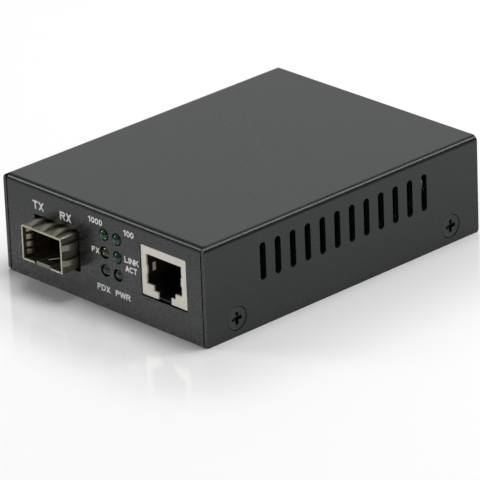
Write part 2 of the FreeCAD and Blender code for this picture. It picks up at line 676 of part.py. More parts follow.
def make_board_studs():
    """Studs whose hexagonal bases fill holes in the tray's floor."""
    stud = new_body("board_stud")
    pad(stud, hexagon(new_sketch(stud, "XY_Plane"), "0", "0", "stud_hex"), "sheet_gauge")
    barrel = circle(new_sketch(stud, "XY_Plane", "sheet_gauge"), "0", "0", "stud_barrel / 2")
    pad(stud, barrel, f"{BOARD_UNDER} - sheet_gauge")
    bore = circle(new_sketch(stud, "XY_Plane", BOARD_UNDER), "0", "0", THREAD_BORE)
    pocket(stud, bore, "pan_reach - board_gauge + screw_thread / 4")
    return group("board_standoffs", [(stud, across, along, "0", 0) for across, along in STUD_PLACES])


def make_board_screws():
    screw = new_body("board_screw")
    head, thread = "pan_head / 2", "screw_thread / 2"
    section = outline(new_sketch(screw, "XZ_Plane"), [
        ("0", "-pan_reach"), (thread, "-pan_reach"), (thread, "0"), (head, "0"),
        (head, "pan_rise", "pan_round"), ("0", "pan_rise")])
    turned(screw, section, "V_Axis")
    cut_cross(screw, "XY_Plane", "pan_rise")
    return group("board_screws", [(screw, across, along, "board_level", 0) for across, along in STUD_PLACES])


# Board

def make_circuit_board():
    body = new_body("circuit_board")
    sketch = new_sketch(body, "XY_Plane", BOARD_UNDER)
    rectangle(sketch, f"-{BOARD_SIDE}", f"{FRONT_INSIDE} + board_front_gap", BOARD_SIDE,
              f"{REAR} - sheet_gauge - board_rear_gap", "sheet_gauge")
    for across, along in STUD_PLACES:
        circle(sketch, across, along, THREAD_BORE)
    for sign in ("-1", "1"):
        circle(sketch, f"{JACK_ACROSS} + {sign} * peg_spacing / 2", f"{JACK_FACE} + peg_place",
               "peg_size / 2 + hole_play")
    pad(body, sketch, "board_gauge")
    slots = new_sketch(body, "XY_Plane", "board_level")
    for sign in ("-1", "1"):
        middle = f"{CAGE_ACROSS} + {sign} * (cage_width - cage_gauge) / 2"
        across, along = "(cage_gauge / 2 + hole_play)", "(leg_width / 2 + hole_play)"
        rectangle(slots, f"{middle} - {across}", f"{CAGE_RIM} + leg_first - {along}",
                  f"{middle} + {across}", f"{CAGE_RIM} + leg_first + {along}")
    repeated(body, pocket(body, slots), "Y_Axis", "cage_legs", "leg_pitch")
    return body


# Fibre module cage, each piece with its origin in the middle of the rim, at the board's top

def in_cage(body):
    return place(body, CAGE_ACROSS, CAGE_RIM, "board_level")


def make_cage_shell():
    """Roof, sides and back of the cage, with legs and air holes."""
    body = new_body("sfp_cage_shell")
    side, inner = "cage_width / 2", "(cage_width / 2 - cage_gauge)"
    roof, bend = "cage_height - cage_gauge", "cage_corner - cage_gauge"
    section = outline(new_sketch(body, "XZ_Plane", "-collar_gauge"), [
        (f"-{side}", "0"), (f"-{side}", "cage_height", "cage_corner"),
        (side, "cage_height", "cage_corner"), (side, "0"), (inner, "0"),
        (inner, roof, bend), (f"-{inner}", roof, bend), (f"-{inner}", "0")])
    pad(body, section, "cage_length - collar_gauge", back=True)
    back = new_sketch(body, "XZ_Plane", "-(cage_length - cage_gauge)")
    rectangle(back, f"-{inner} - cage_gauge / 2", "leg_width", f"{inner} + cage_gauge / 2",
              f"{roof} + cage_gauge / 2 ")
    pad(body, back, "cage_gauge", back=True)
    legs = new_sketch(body, "XY_Plane")
    for near, far in ((f"-{side}", f"-{inner}"), (inner, side)):
        rectangle(legs, near, "leg_first - leg_width / 2", far, "leg_first + leg_width / 2")
    repeated(body, pad(body, legs, "leg_length", back=True), "Y_Axis", "cage_legs", "leg_pitch")
    holes = new_sketch(body, "XY_Plane", "cage_height / 2")
    circle(holes, "-(airhole_rows - 1) * airhole_pitch / 2", "airhole_first", "airhole / 2")
    repeated(body, pocket(body, holes, forward=True), "Y_Axis", "airhole_count", "airhole_pitch",
             "X_Axis", "airhole_rows")
    return in_cage(body)


def make_cage_floor():
    """Floor plate with the latch tongue, its catch hole and its raised, folded lip."""
    body = new_body("sfp_cage_floor")
    half = "(cage_width / 2 - cage_gauge - floor_play)"
    tongue, slit = "(tongue_width / 2)", "(tongue_width / 2 + tongue_slit)"
    end = f"{EDGE_FRONT} - floor_gap"
    left = [(f"-{tongue}", "lip_back"), (f"-{tongue}", "tongue_length"),
            (f"-{slit}", "tongue_length"), (f"-{slit}", "collar_gauge"),
            (f"-{half}", "collar_gauge"), (f"-{half}", end)]
    right = [(across[1:], along) for across, along in reversed(left)]
    sketch = outline(new_sketch(body, "XY_Plane"), left + right)
    outline(sketch, [("-catch_width / 2", "catch_first"), ("catch_width / 2", "catch_first"),
                     ("0", "catch_first + catch_length")])
    pad(body, sketch, "cage_gauge")
    lip = outline(new_sketch(body, "YZ_Plane"), [
        ("lip_back", "cage_gauge"), ("lip_length", "cage_gauge + lip_rise"), ("0", "-lip_drop"),
        ("cage_gauge", "-lip_drop"), ("lip_length + cage_gauge / 2", "lip_rise"), ("lip_back", "0")])
    pad(body, lip, "tongue_width", both=True)
    return in_cage(body)


def frame_sketch(body, outside, inside):
    """A frame between two levels of the collar, each its growth beyond the shell's outside."""
    sketch = new_sketch(body, "XZ_Plane")
    for growth in (outside, inside):
        half, roof = f"(cage_width / 2 + {growth})", f"cage_height + {growth}"
        bend = f"cage_corner + {growth}"
        outline(sketch, [(f"-{half}", f"-({growth})"), (half, f"-({growth})"),
                         (half, roof, bend), (f"-{half}", roof, bend)])
    return sketch


def finger_outline(sketch, wall, swap, outwards, kind="finger", start="collar_gauge / 2"):
    """The bowed section of a spring finger or strip, from the rim back, on a wall."""
    def spot(along, rise, *radius):
        level = f"{wall} {outwards} ({rise})"
        return ((level, along) if swap else (along, level)) + radius
    outline(sketch, [
        spot(start, "collar_gauge"), spot(f"{kind}_peak", f"{kind}_bulge", f"{kind}_bend"),
        spot(f"{kind}_length", f"{kind}_end"), spot(f"{kind}_length", f"{kind}_end - collar_gauge"),
        spot(f"{kind}_peak", f"{kind}_bulge - collar_gauge", f"{kind}_bend - collar_gauge"),
        spot(start, "0")])


def band_gap(sketch, wall, swap, outwards):
    """The gap that a finger leaves in the outer band."""
    near, far = wall, f"{wall} {outwards} 2 * collar_gauge"
    if outwards == "-":
        near, far = far, near
    along = ("2 * collar_gauge", "collar_length + collar_gauge")
    if swap:
        rectangle(sketch, near, along[0], far, along[1])
    else:
        rectangle(sketch, along[0], near, along[1], far)


def make_spring_collar():
    """Clip over the cage's rim: hem, outer band with sprung fingers, inner strips."""
    body = new_body("sfp_spring_collar")
    pad(body, frame_sketch(body, "collar_gauge", "-cage_gauge - collar_gauge"), "collar_gauge", back=True)
    dressed(body, "Fillet", "hem_round", ({"Y": "0"},))
    pad(body, frame_sketch(body, "collar_gauge", "0"), "collar_length", back=True)
    pad(body, frame_sketch(body, "-cage_gauge", "-cage_gauge - collar_gauge"), "collar_inside", back=True)
    gap = "finger_width + 2 * finger_gap"
    sides = [
        ("cage_height", "+", 3, "finger_pitch_top"), ("0", "-", 2, "finger_pitch_base")]
    for wall, outwards, count, pitch in sides:
        middle = f"-({count} - 1) * {pitch} / 2"
        cut = new_sketch(body, "YZ_Plane", middle)
        band_gap(cut, wall, False, outwards)
        repeated(body, pocket(body, cut, gap, both=True), "X_Axis", str(count), pitch)
        bow = new_sketch(body, "YZ_Plane", middle)
        finger_outline(bow, wall, False, outwards)
        repeated(body, pad(body, bow, "finger_width", both=True), "X_Axis", str(count), pitch)
    lower = "cage_height / 2 - finger_pitch_side / 2"
    cut = new_sketch(body, "XY_Plane", lower)
    bow = new_sketch(body, "XY_Plane", lower)
    for wall, outwards in (("cage_width / 2", "+"), ("-cage_width / 2", "-")):
        band_gap(cut, wall, True, outwards)
        finger_outline(bow, wall, True, outwards)
    repeated(body, pocket(body, cut, gap, both=True), "Z_Axis", "2", "finger_pitch_side")
    repeated(body, pad(body, bow, "finger_width", both=True), "Z_Axis", "2", "finger_pitch_side")
    strips = new_sketch(body, "XY_Plane", "cage_height / 2 - (strip_count - 1) * strip_pitch / 2")
    for wall, inwards in (("(cage_width / 2 - cage_gauge)", "-"), ("(cage_gauge - cage_width / 2)", "+")):
        finger_outline(strips, wall, True, inwards, "strip", "collar_inside - collar_gauge")
    repeated(body, pad(body, strips, "strip_width", both=True), "Z_Axis", "strip_count", "strip_pitch")
    throat = new_sketch(body, "XZ_Plane", "collar_gauge")
    half = "(tongue_width / 2 + tongue_slit)"
    rectangle(throat, f"-{half}", "-2 * collar_gauge", half, "cage_gauge + 2 * collar_gauge")
    pocket(body, throat)
    return in_cage(body)


def make_edge_connector():
    """Block with a slot from front to back for the module's card edge."""
    body = new_body("sfp_connector")
    section = new_sketch(body, "XZ_Plane", f"-{EDGE_FRONT}")
    rectangle(section, "-edge_width / 2", "0", "edge_width / 2", "edge_height", "jack_corner")
    rectangle(section, "-edge_slot_width / 2", "edge_slot_level - edge_slot_height / 2",
              "edge_slot_width / 2", "edge_slot_level + edge_slot_height / 2")
    pad(body, section, "edge_depth", back=True)
    return in_cage(body)


def make_edge_contacts():
    """Two rows of bent contacts against the roof and the floor of the slot."""
    rear = f"({EDGE_FRONT} + edge_depth)"
    members = []
    for name, sign, step in (("upper_contact", "+", "3 * edge_wire"), ("lower_contact", "-", "edge_wire")):
        level = f"edge_slot_level {sign} (edge_slot_height - edge_wire) / 2"
        wire = bent_wire(name, [
            (f"{rear} + {step}", "0"), (f"{rear} + {step}", level, "edge_wire"),
            (f"{EDGE_FRONT} + edge_pitch", level)], "edge_wire")
        for number in range(int(amount("edge_pins"))):
            across = f"({number} - (edge_pins - 1) / 2) * edge_pitch {sign} edge_pitch / 4"
            members.append((wire, f"{CAGE_ACROSS} + {across}", CAGE_RIM, "board_level", 0))
    return group("sfp_contacts", members)


# Network socket, with its origin in the middle of its face, at the board's top

def in_socket(body):
    return place(body, JACK_ACROSS, JACK_FACE, "board_level")


def socket_section(body, along):
    """The socket's outline with the plug's mouth and the two steps of its latch notch."""
    sketch = new_sketch(body, "XZ_Plane", f"-({along})")
    rectangle(sketch, "-jack_width / 2", "0", "jack_width / 2", "jack_height", "jack_corner")
    half = [("plug_width / 2", "plug_roof"), ("plug_width / 2", "plug_floor"),
            ("latch_wide / 2", "plug_floor"), ("latch_wide / 2", "latch_step"),
            ("latch_narrow / 2", "latch_step"), ("latch_narrow / 2", "latch_floor")]
    return outline(sketch, [(f"-{across}", up) for across, up in half] + half[::-1])


def arm_section(body, along, near, far, height):
    """A bar of the snap arms on both sides, between two distances from the socket's middle."""
    sketch = new_sketch(body, "XZ_Plane", along)
    for left, right in ((f"-({far})", f"-({near})"), (near, far)):
        rectangle(sketch, left, f"arm_level - ({height}) / 2", right, f"arm_level + ({height}) / 2")
    return sketch


def make_socket_plate():
    """Front plate with two snap arms, each with a hook that turns in through the socket's side."""
    body = new_body("rj45_front_plate")
    pad(body, socket_section(body, "0"), "bezel_gauge", back=True)
    notch = new_sketch(body, "XZ_Plane")
    rectangle(notch, "-latch_narrow / 2", "-latch_floor", "latch_narrow / 2", "latch_step")
    pocket(body, notch, "bezel_gauge")
    side, mouth = "jack_width / 2", "plug_width / 2"
    arm = arm_section(body, "-bezel_gauge / 2", f"{side} - arm_gauge", side, "arm_height")
    pad(body, arm, "hook_first + hook_length - bezel_gauge / 2", back=True)
    hook = arm_section(body, "-hook_first", mouth, side, "arm_height")
    pad(body, hook, "hook_length", back=True)
    tooth = arm_section(body, "0", f"{mouth} - arm_tooth", side, "arm_height")
    pad(body, tooth, "bezel_gauge", back=True)
    return in_socket(body)


def make_network_socket():
    """Body behind the front plate: hollow for the plug, grooves for the arms and pegs below."""
    body = new_body("rj45_housing")
    pad(body, socket_section(body, "bezel_gauge"), "plug_depth - bezel_gauge", back=True)
    block = new_sketch(body, "XZ_Plane", "-plug_depth")
    rectangle(block, "-jack_width / 2", "0", "jack_width / 2", "jack_height", "jack_corner")
    pad(body, block, "jack_depth - plug_depth", back=True)
    side, mouth = "jack_width / 2", "plug_width / 2"
    tall = "arm_height + 2 * hook_play"
    for near, start, length in (
            (f"{side} - arm_gauge - hook_play", "bezel_gauge - hook_play",
             "hook_first + hook_length + 2 * hook_play - bezel_gauge"),
            (f"{mouth} - hook_play", "hook_first - hook_play", "hook_length + 2 * hook_play")):
        groove = arm_section(body, f"-({start})", near, f"{side} + hook_play", tall)
        pocket(body, groove, length)
    slot = new_sketch(body, "XZ_Plane", "-(plug_depth - jack_corner)")
    half = "(jack_pins * jack_pitch / 2)"
    rectangle(slot, f"-{half}", "jack_wire_level - jack_wire", half, "jack_wire_level + jack_wire")
    pocket(body, slot)
    pegs = new_sketch(body, "XY_Plane")
    for sign in ("-", ""):
        circle(pegs, f"{sign}peg_spacing / 2", "peg_place", "peg_size / 2")
    pad(body, pegs, "board_gauge + peg_size / 4", back=True)
    return in_socket(body)


def make_socket_contacts():
    """Spring wires that rise behind the socket, run under its roof and fold back into the mouth."""
    back = "jack_depth + jack_wire"
    wire = bent_wire("socket_contact", [
        (back, "0"), (back, "jack_wire_level", "jack_wire"),
        ("jack_wire_front", "jack_wire_level", "jack_wire"),
        ("jack_wire_tip", "jack_wire_level - jack_wire_drop")], "jack_wire")
    members = []
    for number in range(int(amount("jack_pins"))):
        across = f"{JACK_ACROSS} + ({number} - (jack_pins - 1) / 2) * jack_pitch"
        members.append((wire, across, JACK_FACE, "board_level", 0))
    return group("rj45_contacts", members)


# Lamps

def lamp_spot(column, row):
    return f"lamp_column + {column} * lamp_across", f"lamp_level + {row} * lamp_rise"


def make_lamp(name, column, row, sunk):
    """A round-nosed lamp with a wider base, its axis along Y and its tip at its origin."""
    body = new_body(name)
    radius, base = "lamp_size / 2", "lamp_base / 2"
    section = outline(new_sketch(body, "XY_Plane"), [
        ("0", "0"), (radius, "0", f"{radius} - lamp_tip"), (radius, "lamp_length - lamp_base_rise"),
        (base, "lamp_length - lamp_base_rise"), (base, "lamp_length"), ("0", "lamp_length")])
    turned(body, section, "V_Axis")
    across, up = lamp_spot(column, row)
    return place(body, across, f"{FRONT} - lamp_proud + {sunk}", up)


def make_lamp_holder():
    """Block on the board with a stepped bore for each lamp, put in from behind."""
    body = new_body("led_holder")
    front, back = f"{FRONT_INSIDE} + holder_gap", f"{LAMP_BACK} + holder_back"
    block = new_sketch(body, "XZ_Plane", f"-({front})")
    rectangle(block, "lamp_column - holder_margin", "board_level",
              "lamp_column + lamp_across + holder_margin", "lamp_level + 2 * lamp_rise + holder_margin")
    pad(body, block, f"({back}) - ({front})", back=True)
    bores = new_sketch(body, "XZ_Plane", f"-({front})")
    for column, row, _ in LAMP_PLACES.values():
        circle(bores, *lamp_spot(column, row), "lamp_size / 2 + screw_play")
    pocket(body, bores)
    for sunk in ("0", "lamp_sunk"):
        seats = new_sketch(body, "XZ_Plane", f"-({LAMP_BACK} + {sunk} - lamp_base_rise)")
        for column, row, depth in LAMP_PLACES.values():
            if depth == sunk:
                circle(seats, *lamp_spot(column, row), "lamp_base / 2 + screw_play")
        pocket(body, seats)
    return body


def make_lamp_wires():
    """Two wires from the back of each lamp, bent down to the board."""
    members = []
    wires = {}
    for column, row, sunk in LAMP_PLACES.values():
        back = f"{LAMP_BACK} + holder_back + {row + 1} * lamp_wire_step"
        middle, height = lamp_spot(column, row)
        if (row, sunk) not in wires:
            wires[row, sunk] = bent_wire(f"lamp_wire_{len(wires) + 1}", [
                (back, "board_level"), (back, height, "lamp_wire"), (f"{LAMP_BACK} + {sunk}", height)],
                "lamp_wire")
        for sign in ("-", "+"):
            members.append((wires[row, sunk], f"{middle} {sign} lamp_wire_gap / 2", "0", "0", 0))
    return group("led_leads", members)


# Parts on the board

def make_chip(name, across, along, width, depth, height):
    """A moulded package with a chamfered top and a dimple at one corner."""
    body = new_body(name)
    sketch = new_sketch(body, "XY_Plane")
    rectangle(sketch, f"-({width}) / 2", f"-({depth}) / 2", f"({width}) / 2", f"({depth}) / 2")
    pad(body, sketch, height)
    dressed(body, "Chamfer", "chip_chamfer", ({"Z": height},))
    dimple = new_sketch(body, "XY_Plane", height)
    circle(dimple, f"dimple_inset - ({width}) / 2", f"dimple_inset - ({depth}) / 2",
           "chip_dimple / 2")
    pocket(body, dimple, "chip_chamfer / 2")
    return place(body, across, along, "board_level")


def make_transformer_leads():
    """Leads in two rows, each from the transformer's side down to its foot on the board."""
    reach = "trafo_depth / 2 + trafo_foot"
    knee = "trafo_depth / 2 + trafo_foot / 2"
    lead = bent_wire("transformer_lead", [
        (f"-({reach})", "trafo_lead / 2"), (f"-({knee})", "trafo_lead / 2", "trafo_lead"),
        (f"-({knee})", "trafo_height / 3", "trafo_lead"), ("-trafo_depth / 2", "trafo_height / 3")],
        "trafo_lead", upright=False)
    members = []
    for number in range(int(amount("trafo_pins"))):
        across = f"({number} - (trafo_pins - 1) / 2) * trafo_pitch"
        for turn in (0, 180):
            members.append((lead, f"{JACK_ACROSS} + {across}", "trafo_place", "board_level", turn))
    return group("transformer_leads", members)


def make_bulk_capacitors():
    """Round cans on square plinths."""
    body = new_body("bulk_capacitor")
    half = "can_plinth / 2"
    plinth = new_sketch(body, "XY_Plane")
    rectangle(plinth, f"-{half}", f"-{half}", half, half, "sheet_gauge")
    pad(body, plinth, "can_plinth_rise")
    radius = "can_size / 2"
    waist = f"{radius} - chip_chamfer"
    bead = "can_bead"
    can = outline(new_sketch(body, "XZ_Plane"), [
        ("0", "can_plinth_rise / 2"), (radius, "can_plinth_rise / 2"), (radius, f"{bead} - chip_chamfer"),
        (waist, bead), (radius, f"{bead} + chip_chamfer"), (radius, "can_height", "2 * chip_chamfer"),
        ("0", "can_height")])
    turned(body, can, "V_Axis")
    members = [(body, f"{CANS_MIDDLE} + {step} * can_pitch", "can_place", "board_level", 0)
               for step in (-1, 0, 1)]
    return group("bulk_capacitors", members)


def make_crystal():
    """Long round-ended metal can on a wider base."""
    body = new_body("clock_crystal")
    for grow, rise in (("2 * crystal_rim", "crystal_rim"), ("0", "crystal_height")):
        sketch = new_sketch(body, "XY_Plane")
        round_slot(sketch, "0", "0", f"(crystal_width + {grow})", f"(crystal_length + {grow})")
        pad(body, sketch, rise)
    dressed(body, "Fillet", "2 * crystal_rim", ({"Z": "crystal_height"},))
    return place(body, f"{SKIN} - crystal_side_gap", "crystal_place", "board_level")


def make_inductor():
    """Square ferrite block with the round end of its core on top."""
    body = new_body("power_inductor")
    half = "coil_size / 2"
    sketch = new_sketch(body, "XY_Plane")
    rectangle(sketch, f"-{half}", f"-{half}", half, half, "coil_size / 6")
    pad(body, sketch, "coil_height")
    groove = new_sketch(body, "XY_Plane", "coil_height")
    circle(groove, "0", "0", "coil_core / 2 + coil_groove")
    circle(groove, "0", "0", "coil_core / 2")
    pocket(body, groove, "coil_groove")
    return place(body, SUPPLY_ACROSS, "coil_place", "board_level")


def make_ceramic_capacitors():
    """Small blocks in two rows between the chips and the power parts."""
    block = new_body("ceramic_capacitor")
    sketch = new_sketch(block, "XY_Plane")
    rectangle(sketch, "-grain_length / 2", "-grain_width / 2", "grain_length / 2", "grain_width / 2")
    pad(block, sketch, "grain_height")
    members = []
    for column in range(int(amount("grain_columns"))):
        across = f"{SKIN} - grain_side_gap - {column} * grain_pitch"
        for row in range(2):
            members.append((block, across, f"grain_place + {row} * grain_row", "board_level", 90))
    return group("ceramic_capacitors", members)


# Power inlet, with its origin in the middle of its face, at the board's top, bore along Y

def in_inlet(body):
    return place(body, "0", REAR, "board_level")


def make_inlet_housing():
    """Block with a round-topped nose and a blind bore from behind."""
    body = new_body("dc_jack_housing")
    half = "inlet_width / 2"
    section = new_sketch(body, "XZ_Plane")
    outline(section, [(f"-{half}", "0"), (half, "0"), (half, "inlet_height", "inlet_width / 4"),
                      (f"-{half}", "inlet_height", "inlet_width / 4")])
    pad(body, section, "inlet_depth")
    bore = circle(new_sketch(body, "XZ_Plane"), "0", "inlet_axis", "inlet_bore / 2")
    pocket(body, bore, "inlet_bore_depth", forward=True)
    slot = new_sketch(body, "XZ_Plane")
    rectangle(slot, "-inlet_pin / 2", "-inlet_pin", "inlet_pin / 2", "inlet_axis")
    pocket(body, slot, "inlet_bore_depth", forward=True)
    return in_inlet(body)


def make_inlet_pin():
    """Centre pin that stands on the end of the bore."""
    body = new_body("dc_jack_pin")
    radius = "inlet_pin / 2"
    section = outline(new_sketch(body, "YZ_Plane"), [
        ("-inlet_bore_depth", "0"), ("-inlet_bore_depth", radius),
        ("-inlet_bore_depth + inlet_pin_reach", radius, f"{radius} / 2"),
        ("-inlet_bore_depth + inlet_pin_reach", "0")])
    turned(body, section, "H_Axis")
    return place(body, "0", REAR, "board_level + inlet_axis")


def make_inlet_spring():
    """Bowed leaf in the slot under the bore, which presses on the plug's sleeve."""
    body = new_body("dc_jack_spring")
    low = "(inlet_axis - inlet_bore / 2 - inlet_spring)"
    crest = "(inlet_axis - inlet_bore / 2 + inlet_spring)"
    section = outline(new_sketch(body, "YZ_Plane"), [
        ("-inlet_bore_depth", f"{low}"), ("-inlet_bore_depth / 2", crest, "inlet_bore"),
        ("-inlet_spring", f"{low}"), ("-inlet_spring", f"{low} + inlet_spring"),
        ("-inlet_bore_depth / 2", f"{crest} + inlet_spring", "inlet_bore - inlet_spring"),
        ("-inlet_bore_depth", f"{low} + inlet_spring")])
    pad(body, section, "inlet_leaf", both=True)
    return in_inlet(body)


pieces = [
    make_top_cover(), make_base_tray(), make_cover_screws(), make_board_studs(), make_board_screws(),
    make_circuit_board(), make_cage_shell(), make_cage_floor(), make_spring_collar(),
    make_edge_connector(), make_edge_contacts(), make_socket_plate(), make_network_socket(),
    make_socket_contacts(), make_lamp_holder(), make_lamp_wires(),
]
pieces += [make_lamp(name, *spot) for name, spot in LAMP_PLACES.items()]
pieces += [
    make_chip("lan_transformer", JACK_ACROSS, "trafo_place", "trafo_width", "trafo_depth", "trafo_height"),
    make_chip("phy_chip", JACK_ACROSS, "phy_place", "phy_size", "phy_size", "phy_height"),
    make_chip("converter_chip", f"{SKIN} - switch_side_gap", "switch_place", "switch_size",
              "switch_size", "switch_height"),
    make_chip("config_memory", CAGE_ACROSS, "memory_place", "memory_width", "memory_depth",
              "memory_height"),
    make_chip("voltage_regulator", SUPPLY_ACROSS, "supply_place", "supply_width", "supply_depth",
              "supply_height"),
    make_transformer_leads(), make_bulk_capacitors(), make_crystal(), make_inductor(),
    make_ceramic_capacitors(), make_inlet_housing(), make_inlet_pin(), make_inlet_spring(),
]
doc.recompute()

for item in doc.Objects:
    if "Invalid" in item.State or "Error" in item.State:
        raise RuntimeError(f"{item.Label} is {item.State}")
os.makedirs("parts", exist_ok=True)
for piece in pieces:
    if piece.Shape.isNull() or not piece.Shape.isValid():
        raise RuntimeError(f"{piece.Label} has no valid shape")
    piece.Shape.exportStep(f"parts/{piece.Label}.step")
    print(f"{piece.Label}: {len(piece.Shape.Solids)} solids, {piece.Shape.Volume:.1f} mm3")
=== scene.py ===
import math

import bmesh
import bpy
from mathutils import Matrix, Vector
from mathutils.geometry import delaunay_2d_cdt


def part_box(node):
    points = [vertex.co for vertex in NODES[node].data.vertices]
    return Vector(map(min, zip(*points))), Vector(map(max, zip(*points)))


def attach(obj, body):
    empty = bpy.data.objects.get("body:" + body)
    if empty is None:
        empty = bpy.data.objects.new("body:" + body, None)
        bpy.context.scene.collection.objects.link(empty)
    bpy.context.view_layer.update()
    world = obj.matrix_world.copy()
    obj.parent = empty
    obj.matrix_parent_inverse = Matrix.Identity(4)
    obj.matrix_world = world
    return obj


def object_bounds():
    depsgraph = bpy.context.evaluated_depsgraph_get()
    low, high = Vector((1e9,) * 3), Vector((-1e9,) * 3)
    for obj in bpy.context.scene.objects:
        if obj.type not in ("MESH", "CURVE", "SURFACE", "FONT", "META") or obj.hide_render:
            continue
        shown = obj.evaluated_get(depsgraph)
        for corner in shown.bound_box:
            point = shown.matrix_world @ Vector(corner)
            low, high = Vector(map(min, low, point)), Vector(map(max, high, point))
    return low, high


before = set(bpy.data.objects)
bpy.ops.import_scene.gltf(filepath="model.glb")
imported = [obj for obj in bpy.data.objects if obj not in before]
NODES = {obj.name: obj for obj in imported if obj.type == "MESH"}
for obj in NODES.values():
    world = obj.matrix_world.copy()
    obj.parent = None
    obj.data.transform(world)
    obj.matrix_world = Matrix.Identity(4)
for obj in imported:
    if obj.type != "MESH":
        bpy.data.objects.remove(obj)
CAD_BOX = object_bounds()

bl_info = {
    "name": "Fibre media converter",
    "version": (1, 0, 0),
    "blender": (4, 5, 0),
    "location": "3D View > Sidebar > Media converter",
    "description": "Finishes, panel legends and studio for a steel-cased fibre media converter",
    "category": "Object",
}

MM = 0.001
PANEL = "top_cover"
SENSOR_MM = 36

# Lettering: points this close are one, and the mesh keeps only what lies inside the strokes
SAME_SPOT = 1e-6
MERGE_WITHIN = 1e-5
INSIDE_ONLY = 1

# Refractive index of each plastic, ink and coating
PAINT_IOR = 1.45
NYLON_IOR = 1.53
POLYESTER_IOR = 1.57
LAMP_EPOXY_IOR = 1.53
CHIP_EPOXY_IOR = 1.55
MASK_IOR = 1.52
CERAMIC_IOR = 1.7
FERRITE_IOR = 1.8


# Small helpers

def linear(code):
    """Linear colour from an sRGB hex value."""
    parts = [int(code[i:i + 2], 16) / 255 for i in (0, 2, 4)]
    rgb = [p / 12.92 if p <= 0.04045 else ((p + 0.055) / 1.055) ** 2.4 for p in parts]
    return tuple(rgb)


def add(tree, kind, inputs=None, **settings):
    """Adds a shader node, with its settings, and values or links for its inputs."""
    node = tree.nodes.new("ShaderNode" + kind)
    for name, value in settings.items():
        setattr(node, name, value)
    for name, value in (inputs or {}).items():
        if isinstance(value, bpy.types.NodeSocket):
            tree.links.new(value, node.inputs[name])
        else:
            node.inputs[name].default_value = value
    return node


def per_mm(size):
    """Texture scale at which one pattern cell is that many millimetres wide."""
    return 1 / (size * MM)


def start_material(name):
    """An empty material, its tree, its shader and the coordinates of the piece in metres."""
    material = bpy.data.materials.new(name)
    material.use_nodes = True
    tree = material.node_tree
    shader = tree.nodes["Principled BSDF"]
    place = add(tree, "TexCoord").outputs["Object"]
    return material, tree, shader, place


def ramp(tree, factor, stops):
    """A colour ramp between (position, colour) stops."""
    node = add(tree, "ValToRGB", {"Fac": factor})
    elements = node.color_ramp.elements
    while len(elements) < len(stops):
        elements.new(0.5)
    for element, (position, colour) in zip(elements, stops):
        element.position = position
        element.color = (*colour[:3], 1)
    return node.outputs["Color"]


def tone(colour, share):
    """The colour made lighter or darker by a share."""
    return tuple(min(1.0, part * share) for part in colour[:3])


def finish_node(material, *names):
    """Gives CAD nodes a material."""
    for name in names:
        slots = NODES[name].data.materials
        slots.clear()
        slots.append(material)


# Materials

def powder_paint(settings):
    """Polyester powder paint, sprayed and baked."""
    # The baked skin flows out to a soft gloss with a fine grain, so bends carry one narrow bright
    # line between dark ones. Real grain is 0.1 to 0.2 mm wide, too fine to show, and is drawn
    # coarser.
    material, tree, shader, place = start_material("powder_paint_baked")
    grain = add(tree, "TexNoise", {"Vector": place, "Scale": per_mm(settings.grain / MM),
                                   "Detail": 3.0, "Roughness": 0.55})
    drift = add(tree, "TexNoise", {"Vector": place, "Scale": per_mm(18), "Detail": 2.0})
    colour = tuple(settings.paint)
    body = ramp(tree, drift.outputs["Fac"],
                [(0.35, tone(colour, 0.94)), (0.65, tone(colour, 1.06))])
    speck = add(tree, "MixRGB", {"Fac": 0.35, "Color1": body}, blend_type="OVERLAY")
    tree.links.new(ramp(tree, grain.outputs["Fac"], [(0.3, (0.43,) * 3), (0.7, (0.57,) * 3)]),
                   speck.inputs["Color2"])
    tree.links.new(speck.outputs["Color"], shader.inputs["Base Color"])
    gloss = add(tree, "MapRange", {"Value": grain.outputs["Fac"], "From Min": 0.3, "From Max": 0.7,
                                   "To Min": settings.paint_roughness - 0.02,
                                   "To Max": settings.paint_roughness + 0.04})
    tree.links.new(gloss.outputs["Result"], shader.inputs["Roughness"])
    shader.inputs["IOR"].default_value = PAINT_IOR
    bump = add(tree, "Bump", {"Height": grain.outputs["Fac"], "Strength": 0.35,
                              "Distance": settings.grain_depth})
    tree.links.new(bump.outputs["Normal"], shader.inputs["Normal"])
    return material


def worked_metal(name, colour, roughness, grain=0.25, stretch=(1, 1, 1), depth=0.004, spread=0.08):
    """A bare or plated metal, with the lines or grain that its making left."""
    # The grain blurs reflections unevenly and the slow stain darkens some of the plating. Real
    # rolling lines are finer than 0.05 mm and are drawn coarser, at the grain given.
    material, tree, shader, place = start_material(name)
    lines = add(tree, "Mapping", {"Vector": place, "Scale": stretch})
    grit = add(tree, "TexNoise", {"Vector": lines.outputs["Vector"], "Scale": per_mm(grain),
                                  "Detail": 2.0})
    cloud = add(tree, "TexNoise", {"Vector": place, "Scale": per_mm(3.5), "Detail": 2.0})
    stain = ramp(tree, cloud.outputs["Fac"], [(0.3, tone(colour, 0.86)), (0.7, tone(colour, 1.05))])
    tree.links.new(stain, shader.inputs["Base Color"])
    shader.inputs["Metallic"].default_value = 1.0
    gloss = add(tree, "MapRange", {"Value": grit.outputs["Fac"], "From Min": 0.3, "From Max": 0.7,
                                   "To Min": roughness - spread / 2, "To Max": roughness + spread})
    tree.links.new(gloss.outputs["Result"], shader.inputs["Roughness"])
    bump = add(tree, "Bump", {"Height": grit.outputs["Fac"], "Strength": 0.3,
                              "Distance": depth * MM})
    tree.links.new(bump.outputs["Normal"], shader.inputs["Normal"])
    return material


